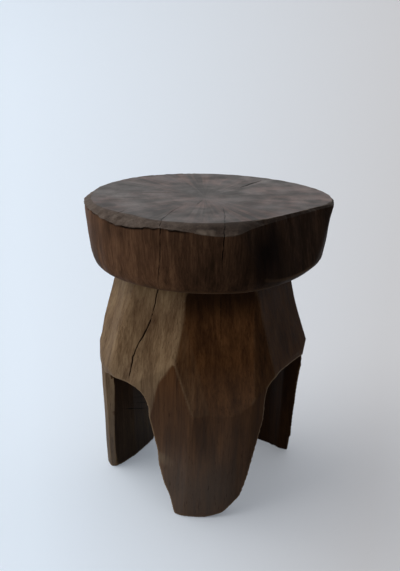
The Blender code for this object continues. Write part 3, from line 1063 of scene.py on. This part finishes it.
def roughen_seat(carved):
    """The hand work: fibres and flutes up the side, a chipped lip and a top that dips."""
    for vertex in carved.verts:
        point = vertex.co
        upright = 1 - ease(*SEAT_UPRIGHT, abs(vertex.normal.z))
        move = vertex.normal * (hand_work(point, SEAT_WORK) * upright)
        lip = ease(*LIP_HEIGHT, point.z) * ease(*LIP_FACING, 1 - vertex.normal.z)
        chip = min(CHIP_PROUD, hand_work(point, CHIP_WORK))
        move += vertex.normal * (CHIP_DEPTH * lip * chip * (1 - upright * 0.5))
        dip = 0.5 * (1 + wander(point, *TOP_GRAIN))
        move.z -= TOP_DIP * dip * ease(*TOP_FACING, vertex.normal.z)
        point += move


def shade_seat(carved):
    """Marks the painted shadow in the torn lip's tear, its pale patch, the wear with a paler band painted
    along the seat's lower edge, and the side of the seat painted paler where the window's light falls.
    """
    layers = carved.verts.layers.float
    lit_pale, worn, dark, step = layers["lit_pale"], layers["wear"], layers["crack_shade"], layers["step"]
    side_end = SEAT_ROWS[BOTTOM] + SEAT_ROWS[SIDE] - 1
    for vertex in carved.verts:
        point = vertex.co
        azimuth = math.degrees(math.atan2(point.x, -point.y))
        below = round(side_end - vertex[step])
        pale = 0.0
        # Painted shadow in the tear under the lip
        if 0 <= below < len(TEAR_SHADE):
            open_tear = ease(*TEAR_OPEN, wander(point, *TEAR_GRAIN))
            vertex[dark] = TEAR_SHADE[below] * within(TEAR_SPAN, azimuth) * open_tear
        elif -SEAT_ROWS[LIP] < below < 0:
            uneven = ease(*PALE_PATCH_UNEVEN, wander(point, *PALE_PATCH_GRAIN))
            pale = PALE_PATCH * within(PALE_PATCH_SPAN, azimuth) * uneven
            pale *= ease(*PALE_PATCH_HEIGHT, point.z)
        # A paler band painted along the seat's lower edge
        foot_pale = ease(*SEAT_FOOT_PALE_HEIGHT, point.z) * ease(*SEAT_FOOT_PALE_REACH, point.xy.length)
        rim = ease(*RIM_HEIGHT, point.z) * ease(*RIM_FACING, vertex.normal.z)
        vertex[worn] = max(vertex[worn] * (1 - RIM_UNWORN * rim), SEAT_FOOT_PALE * foot_pale, pale)
        # Painted light: the seat's side towards the window is painted paler
        facing = point.normalized().dot(round_log(SEAT_LIT_PALE_AZIMUTH, 1.0, 0.0))
        vertex[lit_pale] = ease(*SEAT_LIT_PALE_FACING, facing)


def carve_seat():
    """The thick round seat: worn flat top, torn lip, upright fibres on the side, drying cracks."""
    carved = turn_seat()
    add_marks(carved)
    roughen_seat(carved)
    note_wear(carved)
    shade_seat(carved)
    tree = BVHTree.FromBMesh(carved)
    split_wood(carved, on_side(tree, SEAT_LEFT_CRACK), *SEAT_LEFT_CUT)
    split_wood(carved, on_side(tree, SEAT_FRONT_CRACK), *SEAT_FRONT_CUT)
    split_wood(carved, on_top(tree, TOP_CRACK), *TOP_CRACK_CUT)
    split_wood(carved, on_top(tree, TOP_LEFT_CHECK), *TOP_LEFT_CUT)
    split_wood(carved, on_top(tree, TOP_FRONT_CHECK), *TOP_FRONT_CUT)
    for line in TOP_FINE_CHECKS:
        split_wood(carved, on_sight(tree, line), *TOP_FINE_CUT)
    return carved


def carve_neck():
    """The undercut neck, from the shoulder's run up to the seat."""
    foot = SHOULDER_TOP + SHOULDER_LIFT
    shell = merged("neck")
    for vertex in shell.verts:
        at_seat = vertex.co.z > SEAT_FOOT - NECK_SEAM
        vertex.co.z = SEAT_FOOT if at_seat else max(foot, vertex.co.z)
    carved = skin(shell, SEAT_SKIN)
    add_marks(carved)
    middle = (foot, foot + NECK_STEADY, SEAT_FOOT - NECK_STEADY, SEAT_FOOT)
    for vertex in carved.verts:
        vertex.co += vertex.normal * (hand_work(vertex.co, NECK_WORK) * within(middle, vertex.co.z))
    note_wear(carved)
    return carved


def hue(code):
    """An sRGB hex colour as linear RGBA."""
    parts = [int(code[i : i + 2], 16) / 255 for i in (0, 2, 4)]
    return [p / 12.92 if p <= 0.04045 else ((p + 0.055) / 1.055) ** 2.4 for p in parts] + [1.0]


def add(tree, kind, inputs=None, stops=None, **settings):
    """Adds a shader node. inputs are values or sockets by name or number; stops are a ramp's colours."""
    node = tree.nodes.new("ShaderNode" + kind)
    for name, value in settings.items():
        setattr(node, name, value)
    for key, value in (inputs or {}).items():
        if isinstance(value, bpy.types.NodeSocket):
            tree.links.new(value, node.inputs[key])
        else:
            node.inputs[key].default_value = value
    if stops:
        ramp = node.color_ramp.elements
        while len(ramp) < len(stops):
            ramp.new(0.5)
        for element, (place, colour) in zip(ramp, stops):
            element.position = place
            element.color = hue(colour)
    return node


def new_material(name):
    """An empty Principled material and its tree."""
    material = bpy.data.materials.new(name)
    material.use_nodes = True
    return material, material.node_tree, material.node_tree.nodes["Principled BSDF"]


def drawn_out(tree, width, length):
    """Object coordinates with one unit for each width across the log and each length along it."""
    place = add(tree, "TexCoord").outputs["Object"]
    scale = (1 / width, 1 / width, 1 / length)
    return add(tree, "Mapping", {"Vector": place, "Scale": scale}).outputs["Vector"]


def layered(tree, wood, layers):
    """Lays colours over the wood. Each has a value, where it starts and is full, its strength and hue."""
    for value, start, full, most, colour in layers:
        mask = add(tree, "MapRange", {"Value": value, "From Min": start, "From Max": full, "To Max": most})
        wood = add(tree, "Mix", {0: mask.outputs[0], 6: wood.outputs[2], 7: hue(colour)}, data_type="RGBA")
    return wood


def oil(tree, surface, wood, gloss, sheen, uneven, relief, strength):
    """Gives a surface its colour, a sheen, a roughness that varies with the grain and a fine relief."""
    rough = add(
        tree, "MapRange", {"Value": uneven, "From Min": 0.3, "From Max": 0.7, "To Min": gloss - 0.06,
                           "To Max": gloss + 0.10}
    )
    bump = add(tree, "Bump", {"Height": relief, "Distance": RELIEF_DEPTH, "Strength": strength})
    tree.links.new(wood.outputs[2], surface.inputs["Base Color"])
    tree.links.new(rough.outputs[0], surface.inputs["Roughness"])
    tree.links.new(bump.outputs["Normal"], surface.inputs["Normal"])
    surface.inputs["Specular IOR Level"].default_value = sheen


def side_grain(name, plain, lit_pale, worn, gloss, sheen, dark_patch=None):
    """Hewn and oiled hardwood along the grain: upright streaks, fine fibres, short dark pores, a side
    painted paler and greyer as painted light, near-black painted shade on the shaded faces and in the
    cracks, a paler grey towards the floor, pale worn edges and, if given, a near-black patch, under a low
    oil sheen."""
    material, tree, surface = new_material(name)
    grain = {}
    for pattern, (width, length, detail, rough, bent) in SIDE_PATTERNS.items():
        grain[pattern] = add(
            tree, "TexNoise", {"Vector": drawn_out(tree, width, length), "Scale": 1.0, "Detail": detail,
                               "Roughness": rough, "Distortion": bent}
        ).outputs["Fac"]
    marks = {mark: add(tree, "Attribute", attribute_name=mark).outputs["Fac"] for mark in MARKS}
    place = add(tree, "TexCoord").outputs["Object"]
    height = add(tree, "SeparateXYZ", {"Vector": place}).outputs["Z"]
    blend = add(tree, "Mix", {0: FIBRE_SHARE, 2: grain["streaks"], 3: grain["fibres"]}).outputs[0]
    tone = add(tree, "ValToRGB", {"Fac": blend}, list(zip(SIDE_STOPS, plain))).outputs["Color"]
    pale = add(tree, "ValToRGB", {"Fac": blend}, list(zip(SIDE_STOPS, lit_pale))).outputs["Color"]
    # Painted light: the paler, greyer tones where the window's light falls
    wood = add(tree, "Mix", {0: marks["lit_pale"], 6: tone, 7: pale}, data_type="RGBA")
    # Painted shade in near-black on the inner and far faces; the grey towards the floor stays off it
    open_low_grey = add(tree, "Math", {0: marks["inner"], 1: -LOW_GREY, 2: LOW_GREY}, operation="MULTIPLY_ADD")
    layers = [
        (grain["stains"], 0.48, 0.72, 0.55, plain[0]),
        (marks["inner"], 0.0, 1.0, 0.8, PAINTED_SHADE_TONE),
        (height, *LOW_GREY_HEIGHT, open_low_grey.outputs[0], LOW_GREY_TONE),
    ]
    # A near-black patch painted round a place on the seat's right
    if dark_patch:
        gap = add(tree, "VectorMath", {0: place, 1: dark_patch}, operation="DISTANCE").outputs["Value"]
        ragged = add(tree, "Math", {0: grain["stains"], 1: DARK_PATCH_RAGGED, 2: gap}, operation="MULTIPLY_ADD")
        layers.append((ragged.outputs[0], *DARK_PATCH_REACH, 0.95, DARK_PATCH_TONE))
    layers += [
        (grain["pores"], 0.62, 0.72, 0.5, PORE_TONE),
        (marks["wear"], 0.25, 0.9, 0.6, worn),
        # Painted shade in the cracks and the tear
        (marks["crack_shade"], 0.15, 0.8, 0.95, CRACK_SHADE_TONE),
    ]
    wood = layered(tree, wood, layers)
    relief = add(tree, "Mix", {0: SIDE_PORE_SHARE, 2: grain["fibres"], 3: grain["pores"]}).outputs[0]
    oil(tree, surface, wood, gloss, sheen, grain["fibres"], relief, SIDE_RELIEF)
    return material


def end_grain(name):
    """Worn, oiled hardwood across the grain: rings and radial checks round the pith, greyed by use."""
    material, tree, surface = new_material(name)
    grain = {}
    for pattern, (width, length, detail, rough) in END_PATTERNS.items():
        grain[pattern] = add(
            tree, "TexNoise", {"Vector": drawn_out(tree, width, length), "Scale": 1.0, "Detail": detail,
                               "Roughness": rough}
        ).outputs["Fac"]
    place = add(tree, "TexCoord").outputs["Object"]
    centred = add(tree, "Mapping", {"Vector": place, "Location": PITH_SHIFT, "Scale": (1, 1, 0)}).outputs[0]
    ray = add(tree, "VectorMath", {0: centred}, operation="NORMALIZE").outputs["Vector"]
    reach = add(tree, "VectorMath", {0: centred}, operation="LENGTH").outputs["Value"]
    for pattern, (turns, outwards, detail, rough) in SPOKE_PATTERNS.items():
        along = add(tree, "Math", {0: reach, 1: outwards}, operation="MULTIPLY").outputs[0]
        out = add(tree, "CombineXYZ", {"Z": along}).outputs["Vector"]
        spoke = add(tree, "VectorMath", {0: ray, 1: [turns] * 3, 2: out}, operation="MULTIPLY_ADD")
        grain[pattern] = add(
            tree, "TexNoise", {"Vector": spoke.outputs["Vector"], "Scale": 1.0, "Detail": detail,
                               "Roughness": rough}
        ).outputs["Fac"]
    rings = add(
        tree, "TexWave", {"Vector": centred, "Scale": RING_SCALE, "Distortion": 9.0, "Detail": 3.0,
                          "Detail Scale": 0.6},
        wave_type="RINGS", rings_direction="Z"
    )
    blend = add(tree, "Mix", {0: RING_SHARE, 2: grain["rays"], 3: rings.outputs["Fac"]}).outputs[0]
    blend = add(tree, "Mix", {0: MOTTLE_SHARE, 2: blend, 3: grain["mottle"]}).outputs[0]
    grey = add(tree, "ValToRGB", {"Fac": blend}, END_GREY).outputs["Color"]
    brown = add(tree, "ValToRGB", {"Fac": blend}, END_BROWN).outputs["Color"]
    patch = add(tree, "MapRange", {"Value": grain["patches"], "From Min": 0.40, "From Max": 0.60}).outputs[0]
    wood = add(tree, "Mix", {0: patch, 6: grey, 7: brown}, data_type="RGBA")
    off_line = add(tree, "Math", {0: grain["checks"], 1: 0.5}, operation="SUBTRACT").outputs[0]
    near_line = add(tree, "Math", {0: off_line}, operation="ABSOLUTE").outputs[0]
    broken = add(
        tree, "MapRange", {"Value": grain["warp"], "From Min": 0.42, "From Max": 0.58, "To Max": 0.85}
    ).outputs[0]
    # Painted shade in the cracks
    crack_shade = add(tree, "Attribute", attribute_name="crack_shade").outputs["Fac"]
    layers = (
        (grain["warp"], 0.5, 0.72, 0.5, "241612"),
        (near_line, 0.085, 0.020, broken, "150d09"),
        (crack_shade, 0.15, 0.8, 0.92, "0c0705"),
    )
    wood = layered(tree, wood, layers)
    relief = add(tree, "Mix", {0: END_PORE_SHARE, 2: grain["rays"], 3: grain["pores"]}).outputs[0]
    oil(tree, surface, wood, END_GLOSS, END_SHEEN, grain["warp"], relief, END_RELIEF)
    return material


def make_floor():
    """A wide pale floor with painted light, bright and bluish towards the window and greyer away from it,
    and a painted glow in camera and glossy rays that lifts its shadows, dished far out so that it fills the
    frame.
    """
    board = bmesh.new()
    bmesh.ops.create_circle(board, cap_ends=True, segments=96, radius=FLOOR_RINGS[0][0])
    for radius, height in FLOOR_RINGS[1:]:
        rim = [edge for edge in board.edges if edge.is_boundary]
        grown = bmesh.ops.extrude_edge_only(board, edges=rim)["geom"]
        for vertex in (item for item in grown if isinstance(item, bmesh.types.BMVert)):
            vertex.co = vertex.co.xy.normalized().to_3d() * radius
            vertex.co.z = height
    bmesh.ops.recalc_face_normals(board, faces=board.faces)
    material, tree, surface = new_material("matt_painted_floor")
    place = add(tree, "TexCoord").outputs["Object"]
    fan = add(tree, "VectorMath", {0: place, 1: FLOOR_FAN}, operation="SUBTRACT")
    way = add(tree, "VectorMath", {0: fan.outputs["Vector"]}, operation="NORMALIZE")
    across = add(tree, "SeparateXYZ", {"Vector": way.outputs["Vector"]}).outputs["X"]
    share = add(tree, "MapRange", {"Value": across, "From Min": -FLOOR_TURN, "From Max": FLOOR_TURN})
    tone = add(tree, "ValToRGB", {"Fac": share.outputs[0]}, [(0.0, FLOOR_LIT_LEFT), (1.0, FLOOR_SHADED_RIGHT)])
    path = add(tree, "LightPath").outputs
    seen = add(tree, "Math", {0: path["Is Glossy Ray"], 1: path["Is Transmission Ray"]}, operation="MAXIMUM")
    seen = add(tree, "Math", {0: path["Is Camera Ray"], 1: seen.outputs[0]}, operation="MAXIMUM")
    shown = add(
        tree, "Mix", {0: seen.outputs[0], 6: hue(FLOOR_BOUNCE), 7: tone.outputs["Color"]}, data_type="RGBA"
    )
    tree.links.new(shown.outputs[2], surface.inputs["Base Color"])
    # Painted glow: the floor seen by camera and glossy rays also glows, which lifts its shadows
    painted_glow = add(tree, "Math", {0: seen.outputs[0], 1: FLOOR_PAINTED_GLOW}, operation="MULTIPLY")
    tree.links.new(tone.outputs["Color"], surface.inputs["Emission Color"])
    tree.links.new(painted_glow.outputs[0], surface.inputs["Emission Strength"])
    surface.inputs["Roughness"].default_value = 0.9
    surface.inputs["Specular IOR Level"].default_value = 0.2
    as_object("floor", board, [material])


def make_light():
    """One broad soft lamp from the left, and a room that is pale behind and dim in front."""
    lamp = bpy.data.lights.new("window_light", "SUN")
    lamp.energy = WINDOW_STRENGTH
    lamp.angle = math.radians(WINDOW_SPREAD)
    lamp.color = hue(WINDOW_COLOUR)[:3]
    window = bpy.data.objects.new("window_light", lamp)
    rise = math.radians(WINDOW_RISE)
    towards = -round_log(WINDOW_AZIMUTH, math.cos(rise), math.sin(rise))
    window.rotation_euler = towards.to_track_quat("-Z", "Y").to_euler()
    bpy.context.scene.collection.objects.link(window)
    world = bpy.data.worlds.new("room")
    bpy.context.scene.world = world
    world.use_nodes = True
    tree = world.node_tree
    room = tree.nodes["Background"]
    way = add(tree, "TexCoord").outputs["Generated"]
    side = add(tree, "VectorMath", {0: way, 1: ROOM_BRIGHT_SIDE}, operation="DOT_PRODUCT")
    start, full = ROOM_TURN
    level = add(
        tree, "MapRange", {"Value": side.outputs["Value"], "From Min": start, "From Max": full,
                           "To Min": ROOM_DIM, "To Max": ROOM_BRIGHT}, interpolation_type="SMOOTHSTEP"
    )
    tree.links.new(level.outputs[0], room.inputs["Strength"])
    room.inputs["Color"].default_value = hue(ROOM_COLOUR)


def make_camera():
    """The photograph's viewpoint."""
    right, up, forward = camera_axes()
    data = bpy.data.cameras.new("camera")
    data.sensor_fit = "VERTICAL"
    data.sensor_height = SENSOR
    data.lens = SENSOR * FOCAL_PIXELS / IMAGE_HEIGHT
    camera = bpy.data.objects.new("camera", data)
    turn = Matrix((right, up, -forward)).transposed().to_4x4()
    camera.matrix_world = Matrix.Translation(CAMERA_PLACE) @ turn
    bpy.context.scene.collection.objects.link(camera)
    bpy.context.scene.camera = camera


def main():
    bpy.context.scene.view_settings.view_transform = "Standard"
    make_camera()
    make_light()
    make_floor()
    # Each wood has plain tones and paler ones, which are painted light where the window's light falls
    base_wood = side_grain(
        "hewn_oiled_hardwood", plain=("3a2313", "583a22", "704d30"), lit_pale=("533f2c", "735f49", "8b775d"),
        worn="83705a", gloss=0.52, sheen=0.035
    )
    seat_wood = side_grain(
        "oiled_hardwood_side_grain", plain=("1b130e", "2b1f18", "3d2d23"),
        lit_pale=("392a1e", "573f30", "715642"), worn="5e4c3c", gloss=0.50, sheen=0.015,
        dark_patch=round_log(*DARK_PATCH_PLACE)
    )
    lip_wood = side_grain(
        "torn_hardwood_lip", plain=("1b130e", "291f19", "3a2f28"), lit_pale=("372c26", "4e433c", "665b53"),
        worn="7d7166", gloss=0.55, sheen=0.08
    )
    top_wood = end_grain("worn_hardwood_end_grain")
    for node, carved in part_base(carve_base()).items():
        finish_piece("carved_" + node, carved, [base_wood], node)
    finish_piece("carved_seat", carve_seat(), [seat_wood, lip_wood, top_wood], "seat")
    finish_piece("carved_neck", carve_neck(), [base_wood], "neck")


main()
